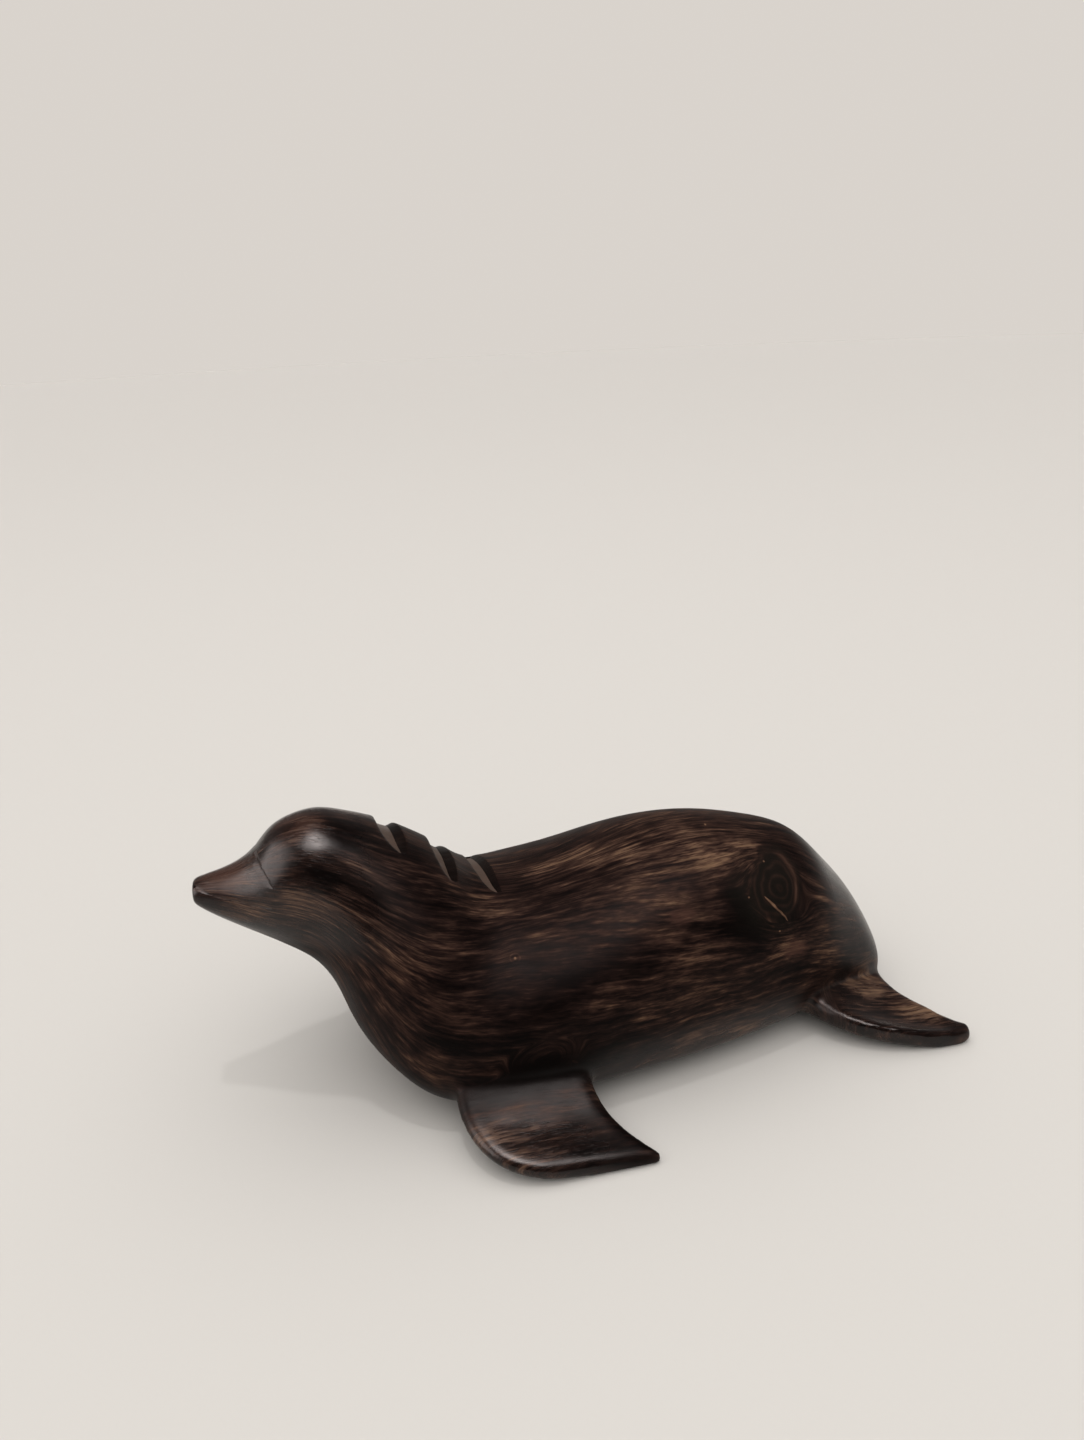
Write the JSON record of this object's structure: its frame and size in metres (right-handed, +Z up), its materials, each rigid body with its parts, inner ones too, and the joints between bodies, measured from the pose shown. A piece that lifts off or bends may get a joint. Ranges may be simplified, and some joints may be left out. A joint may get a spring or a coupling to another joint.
{
  "type": "seal figurine",
  "caption": "Carved dark hardwood sea lion lying on its flippers, with its head raised, crescent notches across the nape and a humped back.",
  "frame": {"origin": "on the table, below the middle of the figurine's box", "axes": "+Z up, -X towards the nose, -Y towards the animal's left side, which the picture shows"},
  "size_m": [0.1976, 0.1236, 0.0737],
  "materials": {
    "wood": "oiled satin"
  },
  "bodies": {
    "root": {"seal_figurine": "wood"}
  },
  "joints": []
}
